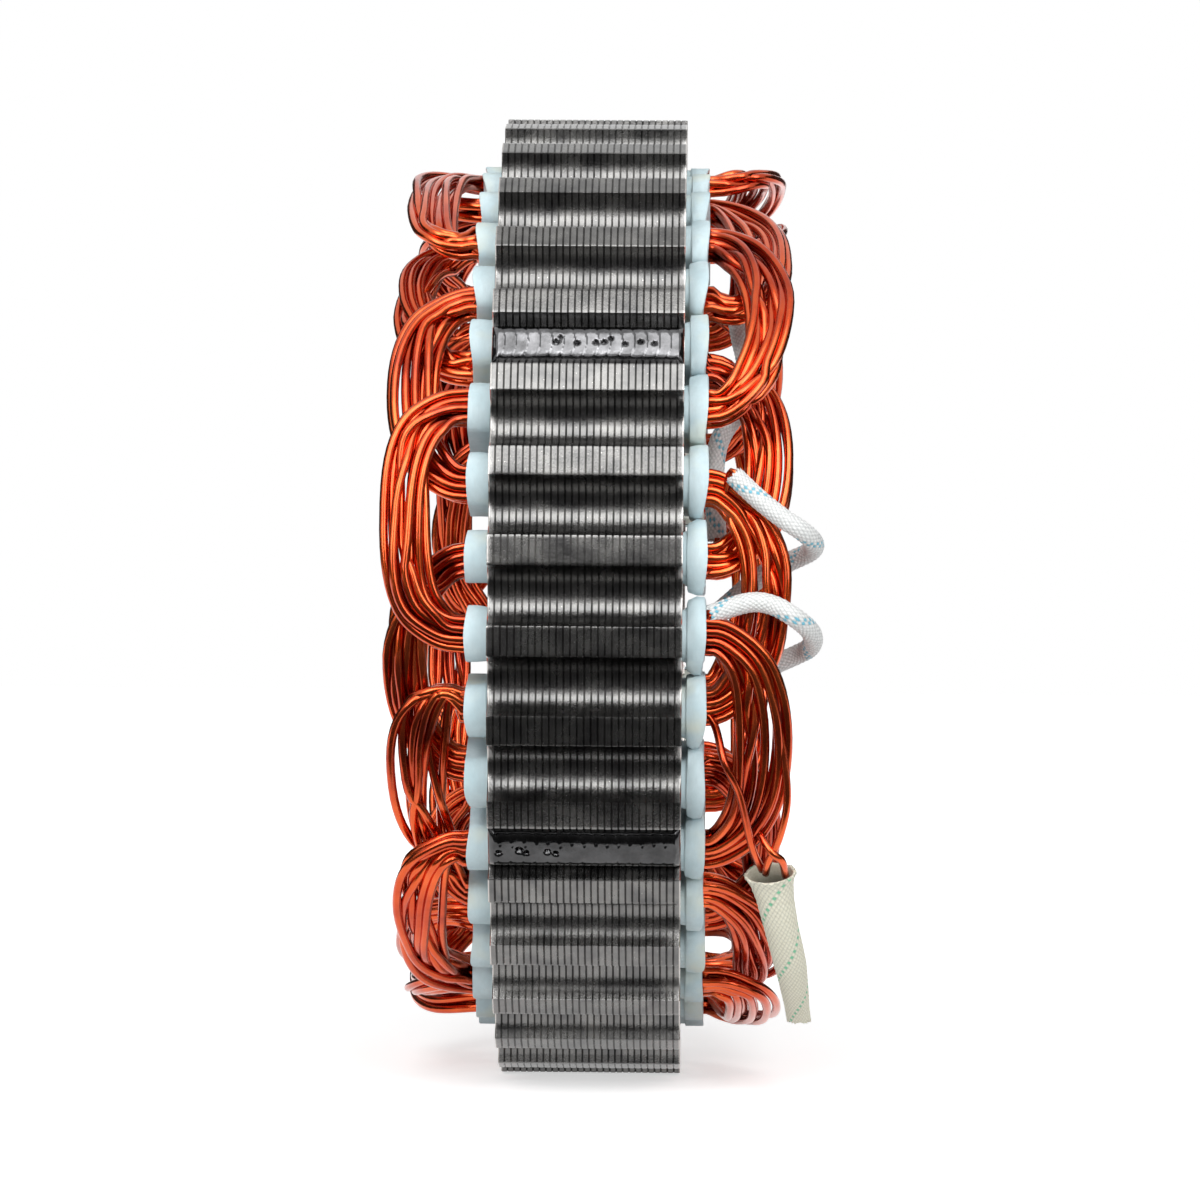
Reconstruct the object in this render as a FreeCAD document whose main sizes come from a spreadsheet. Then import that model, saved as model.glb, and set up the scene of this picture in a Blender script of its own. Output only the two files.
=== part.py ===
import FreeCAD, Part
import math
import os

import Sketcher

doc = FreeCAD.newDocument("wound_stator")
sheet = doc.addObject("Spreadsheet::Sheet", "Sizes")

# Driving sizes in millimetres, counts and degrees
SIZES = [
    # Core: a steel strip wound on edge, punched with rim notches and slots
    ("bore_radius", 54),
    ("slot_depth", 13.3),
    ("slot_bottom_rise", 2.4),
    ("yoke_width", 7.7),
    ("strip_thickness", 1),
    ("strip_turns", 28),
    ("slot_count", 36),
    ("slot_opening", 2),
    ("tooth_width", 4.1),
    ("tooth_tip_thickness", 1),
    ("tooth_shoe_height", 0.9),
    ("notch_radius", 4.3),
    # Slot liners: folded paper with a cuff in front of each core face
    ("liner_thickness", 0.3),
    ("liner_overhang", 3.8),
    ("cuff_thickness", 0.4),
    ("liner_fit", 0.1),
    # Slot wedges: strips that close the slot mouths from inside
    ("wedge_thickness", 0.6),
    ("wedge_overhang", 2.6),
    ("wedge_fit", 0.2),
    # Winding: three phases, one slot per pole and phase, each a flat bundle of wires
    ("phase_count", 3),
    ("bundle_fit", 0.3),
    ("exit_squeeze", 0.2),
    ("exit_bundle_thickness", 3.4),
    ("turn_bundle_thickness", 3),
    ("bundle_bevel", 1.1),
    ("turn_height", 16.4),
    ("turn_window_height", 8.6),
    ("turn_rise", 4.2),
    ("layer_gap", 1.2),
    # Weld beads in every sixth rim notch
    ("weld_count", 6),
    ("weld_width", 5.8),
    ("weld_height", 2.7),
    ("weld_fit", 0.05),
    # Leads
    ("wire_diameter", 1.15),
    ("sleeve_diameter", 3),
    ("star_sleeve_diameter", 3.4),
    ("lead_wires_diameter", 1.9),
    ("lead_fit", 0.3),
]
for row, (alias, value) in enumerate(SIZES, start=1):
    sheet.set(f"A{row}", alias)
    sheet.set(f"B{row}", str(value))
    sheet.setAlias(f"B{row}", alias)
doc.recompute()

X_AXIS = FreeCAD.Vector(1, 0, 0)
CROWN_STEPS = 3
ROD_SIDES = 8


def size(alias):
    return float(getattr(sheet, alias))


def origin_feature(body, role):
    return next(item for item in body.Origin.OriginFeatures if item.Role == role)


def end_face_sketch(body, name, turn=None):
    """A sketch across the axis, its x along +Y and its y along +Z, turned by an expression in degrees."""
    sketch = body.newObject("Sketcher::SketchObject", name)
    sketch.AttachmentSupport = [(origin_feature(body, "YZ_Plane"), "")]
    sketch.MapMode = "FlatFace"
    if turn:
        sketch.setExpression("AttachmentOffset.Rotation.Angle", turn)
    return sketch


def pin_point(sketch, geometry, point, across, up):
    """Holds one end of a line or arc at expressions measured from the sketch's origin."""
    drawn = sketch.getPoint(geometry, point)
    for kind, place, value in (("DistanceX", across, drawn.x), ("DistanceY", up, drawn.y)):
        index = sketch.addConstraint(Sketcher.Constraint(kind, -1, 1, geometry, point, value))
        sketch.setExpression(f"Constraints[{index}]", place)


def closed_outline(sketch, corners):
    """A closed outline of straight lines: each corner is (start value, across, up)."""
    starts = [FreeCAD.Vector(*start, 0) for start, _, _ in corners]
    count = len(corners)
    for index in range(count):
        sketch.addGeometry(Part.LineSegment(starts[index], starts[(index + 1) % count]))
    for index in range(count):
        sketch.addConstraint(Sketcher.Constraint("Coincident", index, 2, (index + 1) % count, 1))
    for index, (_, across, up) in enumerate(corners):
        pin_point(sketch, index, 1, across, up)


def mirrored(corners):
    """Adds the left half of an outline that is symmetric about the sketch's y axis."""
    left = [((-x, y), f"-({across})", up) for (x, y), across, up in reversed(corners)]
    return corners + left


def point_at(height, angle, radius):
    """A point past the lead-side core face, at an angle above the horizontal on the -Y side."""
    turn = math.radians(angle)
    return FreeCAD.Vector(half_stack + height, -radius * math.cos(turn), radius * math.sin(turn))


def rotated_copies(master, prefix, alias):
    """Links that repeat a body evenly around the axis, named from 1; alias names the size that counts them."""
    count = int(size(alias))
    copies = []
    for number in range(1, count + 1):
        copy = doc.addObject("App::Link", f"{prefix}_{number:02d}" if count > 9 else f"{prefix}_{number}")
        copy.LinkedObject = master
        copy.Placement = FreeCAD.Placement(FreeCAD.Vector(), FreeCAD.Rotation(X_AXIS, 0))
        copy.setExpression("Placement.Rotation.Angle", f"360 * {number - 1} / Sizes.{alias}")
        copies.append(copy)
    return copies


def polar_pattern(body, name, originals, count):
    pattern = body.newObject("PartDesign::PolarPattern", name)
    pattern.Originals = originals
    pattern.Axis = (origin_feature(body, "X_Axis"), [""])
    pattern.Angle = 360
    pattern.setExpression("Occurrences", count)
    body.Tip = pattern
    return pattern


# Sizes that follow from the driving ones
STACK = "Sizes.strip_thickness * Sizes.strip_turns"
SLOT_BOTTOM = "(Sizes.bore_radius + Sizes.slot_depth)"
OUTER = "(Sizes.bore_radius + Sizes.slot_depth + Sizes.yoke_width)"
HALF_PITCH = "180 deg / Sizes.slot_count"
SHOULDER = "(Sizes.bore_radius + Sizes.tooth_tip_thickness + Sizes.tooth_shoe_height)"
BOTTOM_FOLD = "30 deg"
half_stack = size("strip_thickness") * size("strip_turns") / 2
slot_pitch = 360 / size("slot_count")
slot_bottom = size("bore_radius") + size("slot_depth")
outer_radius = slot_bottom + size("yoke_width")
shoulder_radius = size("bore_radius") + size("tooth_tip_thickness") + size("tooth_shoe_height")
bow_start = slot_bottom - size("slot_bottom_rise")


def slot_half_width(up):
    """Half the width of a slot between parallel-sided teeth, as an expression of the height up its axis."""
    return f"(({up}) * tan({HALF_PITCH}) - Sizes.tooth_width / 2 / cos({HALF_PITCH}))"


def slot_half_width_at(radius):
    half_pitch = math.radians(slot_pitch / 2)
    return radius * math.tan(half_pitch) - size("tooth_width") / 2 / math.cos(half_pitch)


BOW_START = f"({SLOT_BOTTOM} - Sizes.slot_bottom_rise)"
BOW_HALF = slot_half_width(BOW_START)
BOW_RADIUS = f"(({BOW_HALF}^2 + Sizes.slot_bottom_rise^2) / (2 * Sizes.slot_bottom_rise))"


def bow_radius(gap):
    """The radius of the slot's round bottom, or of a line a gap inside it."""
    half = slot_half_width_at(bow_start) - gap
    rise = size("slot_bottom_rise") - gap
    return (half**2 + rise**2) / (2 * rise)


def bottom_side(gap):
    """One side of the slot's bottom in flat facets, a gap inside its walls: start of the bow, fold in it."""
    fold_up = f"{SLOT_BOTTOM} - {BOW_RADIUS} + ({BOW_RADIUS} - ({gap})) * cos({BOTTOM_FOLD})"
    half = slot_half_width_at(bow_start)
    return [
        ((half, bow_start), f"{BOW_HALF} - ({gap})", BOW_START),
        ((half / 2, slot_bottom), f"({BOW_RADIUS} - ({gap})) * sin({BOTTOM_FOLD})", fold_up),
    ]


def make_core():
    """The strip wound on edge, with its rim notches and its slots between shoed, parallel-sided teeth."""
    body = doc.addObject("PartDesign::Body", "stator_core")

    ring = end_face_sketch(body, "core_ring_outline")
    circles = ((outer_radius, OUTER), (size("bore_radius"), "Sizes.bore_radius"))
    for index, (drawn, radius) in enumerate(circles):
        ring.addGeometry(Part.Circle(FreeCAD.Vector(), FreeCAD.Vector(0, 0, 1), drawn))
        ring.addConstraint(Sketcher.Constraint("Coincident", index, 3, -1, 1))
        constraint = ring.addConstraint(Sketcher.Constraint("Radius", index, drawn))
        ring.setExpression(f"Constraints[{constraint}]", radius)
    stack = body.newObject("PartDesign::Pad", "core_stack")
    stack.Profile = ring
    stack.SideType = "Symmetric"
    stack.setExpression("Length", STACK)

    mouth = size("slot_opening") / 2
    shoulder = slot_half_width_at(shoulder_radius)
    below_bore = size("bore_radius") - size("tooth_tip_thickness")
    tip = size("bore_radius") + size("tooth_tip_thickness")
    slot = end_face_sketch(body, "slot_outline", HALF_PITCH)
    closed_outline(slot, mirrored([
        ((mouth, below_bore), "Sizes.slot_opening / 2", "Sizes.bore_radius - Sizes.tooth_tip_thickness"),
        ((mouth, tip), "Sizes.slot_opening / 2", "Sizes.bore_radius + Sizes.tooth_tip_thickness"),
        ((shoulder, shoulder_radius), slot_half_width(SHOULDER), SHOULDER),
        *bottom_side("0"),
    ]))
    slot_cut = body.newObject("PartDesign::Pocket", "slot_cut")
    slot_cut.Profile = slot
    slot_cut.SideType = "Symmetric"
    slot_cut.setExpression("Length", STACK)
    polar_pattern(body, "slots", [slot_cut], "Sizes.slot_count")

    notch = end_face_sketch(body, "notch_outline")
    notch.addGeometry(Part.Circle(FreeCAD.Vector(0, outer_radius, 0), FreeCAD.Vector(0, 0, 1),
                                  size("notch_radius")))
    constraint = notch.addConstraint(Sketcher.Constraint("Radius", 0, size("notch_radius")))
    notch.setExpression(f"Constraints[{constraint}]", "Sizes.notch_radius")
    notch.addConstraint(Sketcher.Constraint("PointOnObject", 0, 3, -2))
    constraint = notch.addConstraint(Sketcher.Constraint("DistanceY", -1, 1, 0, 3, outer_radius))
    notch.setExpression(f"Constraints[{constraint}]", OUTER)
    notch_cut = body.newObject("PartDesign::Pocket", "notch_cut")
    notch_cut.Profile = notch
    notch_cut.SideType = "Symmetric"
    notch_cut.setExpression("Length", STACK)
    polar_pattern(body, "rim_notches", [notch_cut], "Sizes.slot_count")
    return body


def liner_side(gap):
    """One side of a liner's channel, a gap inside the slot's walls, from its foot to the fold in its bottom."""
    foot_up = f"{SHOULDER} + Sizes.liner_fit"
    foot = shoulder_radius + size("liner_fit")
    foot_across = f"{slot_half_width(foot_up)} - ({gap})"
    return [((slot_half_width_at(foot), foot), foot_across, foot_up), *bottom_side(gap)]


def channel_corners(outer_gap, inner_gap):
    """A channel that lines a slot, between two gaps from its walls."""
    inner = [((x - 0.4, y - 0.1), across, up) for (x, y), across, up in liner_side(inner_gap)]
    return mirrored(liner_side(outer_gap)) + mirrored(inner)[::-1]


def make_liner():
    """A paper channel through the slot, folded back on itself outside each core face."""
    body = doc.addObject("PartDesign::Body", "slot_liner")
    inner_gap = "Sizes.liner_fit + Sizes.liner_thickness"
    channel = end_face_sketch(body, "liner_outline", HALF_PITCH)
    closed_outline(channel, channel_corners("Sizes.liner_fit", inner_gap))
    paper = body.newObject("PartDesign::Pad", "liner_channel")
    paper.Profile = channel
    paper.SideType = "Symmetric"
    paper.setExpression("Length", f"{STACK} + 2 * Sizes.liner_overhang")

    fold = end_face_sketch(body, "cuff_outline", HALF_PITCH)
    fold.setExpression("AttachmentOffset.Base.z", f"{STACK} / 2 + Sizes.liner_fit")
    closed_outline(fold, channel_corners("Sizes.liner_fit - Sizes.cuff_thickness", inner_gap))
    cuff = body.newObject("PartDesign::Pad", "liner_cuff")
    cuff.Profile = fold
    cuff.setExpression("Length", "Sizes.liner_overhang - Sizes.liner_fit")

    both = body.newObject("PartDesign::Mirrored", "liner_cuffs")
    both.Originals = [cuff]
    both.MirrorPlane = (origin_feature(body, "YZ_Plane"), [""])
    body.Tip = both
    return body


def make_wedges():
    """Strips under the tooth shoes, one closing each slot mouth, between the liner's edges."""
    body = doc.addObject("PartDesign::Body", "slot_wedges")
    body.AllowCompound = True
    low_up = "Sizes.bore_radius + Sizes.tooth_tip_thickness + Sizes.wedge_fit"
    side_up = f"{SHOULDER} + Sizes.wedge_fit"
    top_up = f"{SHOULDER} + Sizes.wedge_fit + Sizes.wedge_thickness"
    side = f"{slot_half_width(SHOULDER)} - Sizes.liner_fit - Sizes.liner_thickness - Sizes.wedge_fit"
    strip = end_face_sketch(body, "wedge_outline", HALF_PITCH)
    closed_outline(strip, mirrored([
        ((1, shoulder_radius - 0.7), "Sizes.slot_opening / 2", low_up),
        ((3, shoulder_radius + 0.2), side, side_up),
        ((3, shoulder_radius + 0.8), side, top_up),
    ]))
    wedge = body.newObject("PartDesign::Pad", "wedge_strip")
    wedge.Profile = strip
    wedge.SideType = "Symmetric"
    wedge.setExpression("Length", f"{STACK} + 2 * Sizes.wedge_overhang")
    polar_pattern(body, "wedge_ring", [wedge], "Sizes.slot_count")
    return body


def make_weld_bead():
    """A bead laid along a rim notch: it fills the notch's round bottom and has a domed face."""
    body = doc.addObject("PartDesign::Body", "weld_bead")
    root = "(Sizes.notch_radius - Sizes.weld_fit)"
    half = "Sizes.weld_width / 2"
    edge_up = f"({OUTER} - sqrt({root}^2 - ({half})^2))"
    crown_up = f"({OUTER} - {root} + Sizes.weld_height)"
    root_size = size("notch_radius") - size("weld_fit")
    half_size = size("weld_width") / 2
    edge = outer_radius - math.sqrt(root_size**2 - half_size**2)
    rise = outer_radius - root_size + size("weld_height") - edge
    face_size = (half_size**2 + rise**2) / (2 * rise)
    left = FreeCAD.Vector(-half_size, edge, 0)
    right = FreeCAD.Vector(half_size, edge, 0)
    lowest = FreeCAD.Vector(0, outer_radius - root_size, 0)
    highest = FreeCAD.Vector(0, edge + rise, 0)

    section = end_face_sketch(body, "bead_outline")
    section.addGeometry(Part.Arc(left, lowest, right))
    section.addGeometry(Part.Arc(right, highest, left))
    section.addConstraint(Sketcher.Constraint("Coincident", 0, 1, 1, 2))
    section.addConstraint(Sketcher.Constraint("Coincident", 0, 2, 1, 1))
    pin_point(section, 0, 1, f"-({half})", edge_up)
    pin_point(section, 0, 2, half, edge_up)
    face_radius = f"(({half})^2 + ({crown_up} - {edge_up})^2) / (2 * ({crown_up} - {edge_up}))"
    for index, radius, value in ((0, root, root_size), (1, face_radius, face_size)):
        constraint = section.addConstraint(Sketcher.Constraint("Radius", index, value))
        section.setExpression(f"Constraints[{constraint}]", radius)
    bead = body.newObject("PartDesign::Pad", "bead_run")
    bead.Profile = section
    bead.SideType = "Symmetric"
    bead.setExpression("Length", STACK)
    return body


# Winding: heights are measured from a core face, angles from the middle of a loop
half_span = size("phase_count") * slot_pitch / 2
first_slot_angle = 180 - slot_pitch * 2.5
wedge_top = shoulder_radius + size("wedge_fit") + size("wedge_thickness")
wall_gap = size("liner_fit") + size("liner_thickness") + size("bundle_fit")
bundle_bottom = wedge_top + size("bundle_fit")
slot_bundle_width = 2 * (slot_half_width_at(bundle_bottom + size("bundle_bevel")) - wall_gap)
liner_bow = bow_radius(wall_gap)
bundle_flat = slot_bundle_width / 2 - size("bundle_bevel")
bundle_top = slot_bottom - wall_gap - liner_bow + math.sqrt(liner_bow**2 - bundle_flat**2)
slot_bundle_radius = (bundle_top + bundle_bottom) / 2
leg_height = size("liner_overhang") + size("bundle_fit")
layer_pitch = size("turn_bundle_thickness") + size("layer_gap")


def exit_radius(layer):
    """Where a layer's bundle leaves its slot: the outer one against the liner, the inner one by the wedge."""
    spare = (bundle_top - bundle_bottom - size("exit_bundle_thickness")) / 2
    return slot_bundle_radius + spare * (1 - layer)


def settled_radius(layer):
    """Where a layer runs once it is clear of the slots, counted from the outermost one."""
    return slot_bundle_radius + layer_pitch * (1 - layer)


def layer_radius(layer, height):
    """The middle of a layer at a height above the core face."""
    settled = settled_radius(layer)
    risen = min(max((height - leg_height) / size("turn_rise"), 0), 1)
    return exit_radius(layer) + (settled - exit_radius(layer)) * risen


def bundle_section(edges, thickness, radius_at, place):
    """A flat six-sided section between two edges, each an (angle, height), thinned towards its edges."""
    (first_angle, first_height), (last_angle, last_height) = edges
    across = math.hypot(math.radians(last_angle - first_angle) * radius_at(first_height),
                        last_height - first_height)
    bevel = size("bundle_bevel") / across
    corners = []
    for share, side in ((0, 0), (bevel, 1), (1 - bevel, 1), (1, 0), (1 - bevel, -1), (bevel, -1)):
        angle = first_angle + (last_angle - first_angle) * share
        height = first_height + (last_height - first_height) * share
        corners.append(place(angle, height, radius_at(height) + side * thickness / 2))
    return corners


def faceted_tube(sections, closed=False):
    """A solid with flat facets between sections of as many corners, closed on itself or capped."""
    pairs = list(zip(sections, sections[1:] + sections[:1]))
    if not closed:
        pairs.pop()
    faces = []
    for here, there in pairs:
        for corner in range(len(here)):
            beside = (corner + 1) % len(here)
            for triangle in ((here[corner], here[beside], there[beside]),
                             (here[corner], there[beside], there[corner])):
                faces.append(Part.Face(Part.makePolygon(triangle + triangle[:1])))
    if not closed:
        for end in (sections[0], sections[-1]):
            faces.append(Part.Face(Part.makePolygon(end + end[:1])))
    solid = Part.Solid(Part.makeShell(faces))
    return solid if solid.Volume > 0 else solid.reversed()


def loop_sections(layer, middle, side):
    """The sections of one end loop, from the core face up one leg, over the crown and down the other."""
    slot_half = math.degrees(slot_bundle_width / 2 / slot_bundle_radius)
    exit_half = math.degrees((slot_bundle_width - size("exit_squeeze")) / 2 / slot_bundle_radius)
    lean = slot_half - exit_half
    inner_span = half_span - lean - exit_half
    outer_span = half_span - lean + exit_half
    bundle_depth = bundle_top - bundle_bottom
    feet = [((way * (half_span - slot_half), 0), (way * (half_span + slot_half), 0)) for way in (-1, 1)]

    def place(angle, height, radius):
        turn = math.radians(middle + angle)
        return FreeCAD.Vector(side * (half_stack + height), radius * math.cos(turn),
                              radius * math.sin(turn))

    def in_slot(height):
        return slot_bundle_radius

    def in_layer(height):
        return layer_radius(layer, height)

    stations = [(feet[0], bundle_depth, in_slot)]
    for step in range(CROWN_STEPS * 2 + 1):
        turn = math.pi / 2 * step / CROWN_STEPS
        inner = (-inner_span * math.cos(turn),
                 leg_height + (size("turn_window_height") - leg_height) * math.sin(turn))
        outer = (-outer_span * math.cos(turn),
                 leg_height + (size("turn_height") - leg_height) * math.sin(turn))
        in_crown = 0 < step < CROWN_STEPS * 2
        thickness = size("turn_bundle_thickness" if in_crown else "exit_bundle_thickness")
        stations.append(((inner, outer), thickness, in_layer))
    stations.append((feet[1], bundle_depth, in_slot))
    # The wave turns the other way on the other side, so its inner and outer edges change places.
    return [bundle_section(edges[::-side], thickness, radius_at, place)
            for edges, thickness, radius_at in stations]


def make_phase(name, layer, first_slot):
    """One phase: a bundle in every third slot, joined by loops on alternate sides of the core."""
    sections = []
    for bar in range(int(size("slot_count") / size("phase_count"))):
        slot_angle = first_slot_angle + slot_pitch * (first_slot + size("phase_count") * bar)
        side = -1 if bar % 2 == 0 else 1
        sections += loop_sections(layer, slot_angle + half_span, side)
    phase = doc.addObject("Part::Feature", name)
    phase.Shape = faceted_tube(sections, closed=True)
    return phase


def formed_rod(name, points, diameter):
    """A rod bent to a route: flat-sided, one section at each bend, square to the run at its two ends."""
    ahead = [(after - before).normalize() for before, after in zip(points, points[1:])]
    across = ahead[0].cross(FreeCAD.Vector(0, 0, 1)).normalize()
    sections = []
    for index, point in enumerate(points):
        along = (ahead[max(index - 1, 0)] + ahead[min(index, len(ahead) - 1)]).normalize()
        across = (across - along * across.dot(along)).normalize()
        upward = along.cross(across)
        turns = [2 * math.pi * (corner + 0.5) / ROD_SIDES for corner in range(ROD_SIDES)]
        sections.append([point + (across * math.cos(turn) + upward * math.sin(turn)) * (diameter / 2)
                         for turn in turns])
    rod = doc.addObject("Part::Feature", name)
    rod.Shape = faceted_tube(sections)
    return rod


def make_leads():
    """Phase leads and star point: sleeves over formed wires, laid on the end loops of the lead side.

    A stop on a route is (height, angle, radius, lift): height in crown heights above the core face, angle
    above the horizontal, and a lift off the named radius in sleeve radii.
    """
    sleeve_radius = size("sleeve_diameter") / 2
    half_bundle = size("turn_bundle_thickness") / 2
    outer, middle, inner = (settled_radius(layer) for layer in range(3))
    over_outer = outer + half_bundle + size("lead_fit") + size("wire_diameter") / 2
    over_middle = middle + half_bundle + size("lead_fit") + sleeve_radius
    in_bore = inner - half_bundle - size("lead_fit") - sleeve_radius

    def stop(height, angle, radius, lift=0):
        return point_at(height * size("turn_height"), angle, radius + lift * sleeve_radius)

    def past_crown(beyond, angle, radius, lift=0):
        """A stop in front of the crowns, its height in sleeve radii beyond a sleeve that touches them."""
        height = size("turn_height") + size("lead_fit") + (1 + beyond) * sleeve_radius
        return point_at(height, angle, radius + lift * sleeve_radius)

    sleeves = {
        "lead_sleeve_a": [stop(0.4, -1.6, over_middle), stop(0.57, -0.7, over_middle),
                          stop(0.78, -0.9, over_middle, 0.2), stop(0.98, -2.4, over_middle, 0.5),
                          past_crown(0.3, -4.6, middle, 0.3), past_crown(0.4, -7.0, inner),
                          stop(1.01, -9.0, in_bore), stop(0.61, -12.1, in_bore)],
        "lead_sleeve_b": [stop(0.45, 15.7, over_middle), stop(0.65, 12.8, over_middle, 0.2),
                          stop(0.87, 10.2, over_middle, 0.3), stop(1.05, 8.6, over_middle, -0.2),
                          past_crown(0.5, 7.6, middle, -0.3), past_crown(0.3, 6.9, inner, -0.5),
                          stop(0.95, 5.6, in_bore), stop(0.7, 3.3, in_bore), stop(0.37, -1.6, in_bore)],
        "lead_sleeve_c": [stop(0.3, 9.0, in_bore), stop(0.28, 15.0, in_bore), stop(0.28, 21.5, in_bore),
                          stop(0.34, 26.2, in_bore), stop(0.52, 32.0, in_bore), stop(0.56, 39.0, in_bore),
                          stop(0.51, 45.5, in_bore), stop(0.48, 50.1, in_bore)],
        "star_sleeve": [stop(0.8, -37.2, over_outer, -0.8), stop(0.9, -45.0, over_outer, -0.2),
                        stop(1.02, -53.7, over_outer, 0.4), stop(1.15, -64.7, over_outer, 1.7)],
    }
    wires = {
        "lead_wires_a": [stop(0.3, 0.8, over_middle, -1.0)],
        "lead_wires_b": [stop(0.29, 16.6, over_middle, -1.1)],
        "lead_wires_c": [stop(0.3, 6.0, in_bore, 0.8)],
    }
    strands = {
        "star_wire_1": [stop(0.28, -16.8, middle, 1), stop(0.38, -20.5, over_outer),
                        stop(0.52, -25, over_outer), stop(0.63, -32, over_outer),
                        stop(0.73, -36.8, over_outer, -0.9)],
        "star_wire_2": [stop(0.83, -19.5, over_outer), stop(0.93, -25.5, over_outer, 0.1),
                        stop(0.88, -30.0, over_outer, 0.1), stop(0.8, -36.7, over_outer)],
        "star_wire_3": [stop(0.91, -32.6, over_outer, 1), stop(0.89, -36.7, over_outer, -0.4)],
    }
    made = []
    for name, route in sleeves.items():
        diameter = size("star_sleeve_diameter" if name == "star_sleeve" else "sleeve_diameter")
        made.append(formed_rod(name, route, diameter))
    for name, route in wires.items():
        mouth, inside = sleeves[name.replace("wires", "sleeve")][:2]
        back = (mouth - inside).normalize() * (size("lead_wires_diameter") / 2)
        made.append(formed_rod(name, route + [mouth + back, mouth], size("lead_wires_diameter")))
    for name, route in strands.items():
        made.append(formed_rod(name, route, size("wire_diameter")))
    return made


nodes = [make_core(), make_wedges()]
liner = make_liner()
weld_bead = make_weld_bead()
nodes += rotated_copies(liner, "slot_liner", "slot_count")
nodes += rotated_copies(weld_bead, "weld_bead", "weld_count")
# The middle phase starts one pole later, so its loops stand on the other side of the core.
phases = (("winding_phase_a", 0), ("winding_phase_b", 1 + size("phase_count")), ("winding_phase_c", 2))
for layer, (phase_name, first_slot) in enumerate(phases):
    nodes.append(make_phase(phase_name, layer, first_slot))
nodes += make_leads()
doc.recompute()

for item in doc.Objects:
    if "Invalid" in item.State or "Error" in item.State:
        raise RuntimeError(f"{item.Label} failed to build")

os.makedirs("parts", exist_ok=True)
for node in nodes:
    shape = Part.getShape(node)
    if shape.isNull() or not shape.isValid():
        raise RuntimeError(f"{node.Label} has no valid shape")
    print(node.Label, len(shape.Solids), "solids", round(shape.Volume, 2), "mm3")
    shape.exportStep(f"parts/{node.Label}.step")
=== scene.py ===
import math

import bpy
import numpy as np
from mathutils import Matrix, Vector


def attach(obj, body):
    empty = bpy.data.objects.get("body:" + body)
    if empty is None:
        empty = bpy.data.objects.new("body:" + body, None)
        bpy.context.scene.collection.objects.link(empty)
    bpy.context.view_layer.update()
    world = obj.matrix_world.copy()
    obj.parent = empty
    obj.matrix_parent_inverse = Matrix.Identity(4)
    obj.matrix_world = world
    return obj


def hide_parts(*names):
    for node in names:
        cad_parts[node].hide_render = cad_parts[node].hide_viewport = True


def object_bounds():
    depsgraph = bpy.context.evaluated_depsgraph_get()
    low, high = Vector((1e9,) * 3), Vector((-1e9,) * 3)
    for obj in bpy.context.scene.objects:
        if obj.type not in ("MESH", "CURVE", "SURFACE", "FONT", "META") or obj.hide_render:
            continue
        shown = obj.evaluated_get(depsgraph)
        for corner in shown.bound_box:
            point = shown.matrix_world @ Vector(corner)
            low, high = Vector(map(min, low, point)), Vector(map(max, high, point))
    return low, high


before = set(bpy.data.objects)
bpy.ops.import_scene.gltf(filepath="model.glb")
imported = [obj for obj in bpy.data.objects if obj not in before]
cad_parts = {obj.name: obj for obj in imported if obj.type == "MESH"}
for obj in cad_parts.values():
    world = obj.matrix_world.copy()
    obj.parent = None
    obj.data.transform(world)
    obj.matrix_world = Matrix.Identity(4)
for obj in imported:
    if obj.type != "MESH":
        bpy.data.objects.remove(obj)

cad_low, cad_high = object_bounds()
MM = 0.001
rng = np.random.default_rng(36)

# Sizes of the stator in millimetres and degrees, as in the part's source
STRIPS = 28
STRIP_THICKNESS = 1.0
HALF_STACK = STRIPS * STRIP_THICKNESS / 2
SLOTS = 36
PITCH = 360 / SLOTS
BORE = 54.0
SLOT_DEPTH = 13.3
YOKE_WIDTH = 7.7
TIP_THICKNESS = 1.0
SHOE_HEIGHT = 0.9
SLOT_BOTTOM = BORE + SLOT_DEPTH
OUTER = SLOT_BOTTOM + YOKE_WIDTH
TIP_RADIUS = BORE + TIP_THICKNESS
SHOULDER = TIP_RADIUS + SHOE_HEIGHT
BOW_RISE = 2.4
SLOT_OPENING = 2.0
TOOTH_WIDTH = 4.1
NOTCH_RADIUS = 4.3
LINER_FIT = 0.1
LINER_THICKNESS = 0.3
LINER_OVERHANG = 3.8
CUFF_THICKNESS = 0.4
WELDS = 6
WELD_CROWN = 73.9
WELD_HALF_WIDTH = 3.3
PHASES = 3

# Slot 0 is the one at this angle, and this liner lies in it
FIRST_SLOT_ANGLE = 155.0
FIRST_SLOT_LINER = 7

AXIS = np.array((1.0, 0.0, 0.0))


def slot_half_width(radius):
    """Half the width of a slot between parallel-sided teeth."""
    half_pitch = math.radians(PITCH / 2)
    return radius * math.tan(half_pitch) - TOOTH_WIDTH / 2 / math.cos(half_pitch)


BOW_START = SLOT_BOTTOM - BOW_RISE
BOW_HALF = slot_half_width(BOW_START)
BOW_RADIUS = (BOW_HALF ** 2 + BOW_RISE ** 2) / (2 * BOW_RISE)


def bow_points(gap, count):
    """Points (along, up) of the slot's round bottom, a gap inside its wall, from the wall to the middle."""
    middle = SLOT_BOTTOM - BOW_RADIUS
    radius = BOW_RADIUS - gap
    turns = np.linspace(math.atan2(BOW_HALF - gap, BOW_START - middle), 0, count)
    return [(radius * math.sin(turn), middle + radius * math.cos(turn)) for turn in turns]


def slot_axes(angle):
    """Unit vectors outwards and round the core, at an angle in degrees."""
    turn = math.radians(angle)
    return np.array((0, math.cos(turn), math.sin(turn))), np.array((0, -math.sin(turn), math.cos(turn)))


def eased(share):
    """A share from 0 to 1, with a soft start and a soft end."""
    return share * share * (3 - 2 * share)


# Meshes

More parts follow.
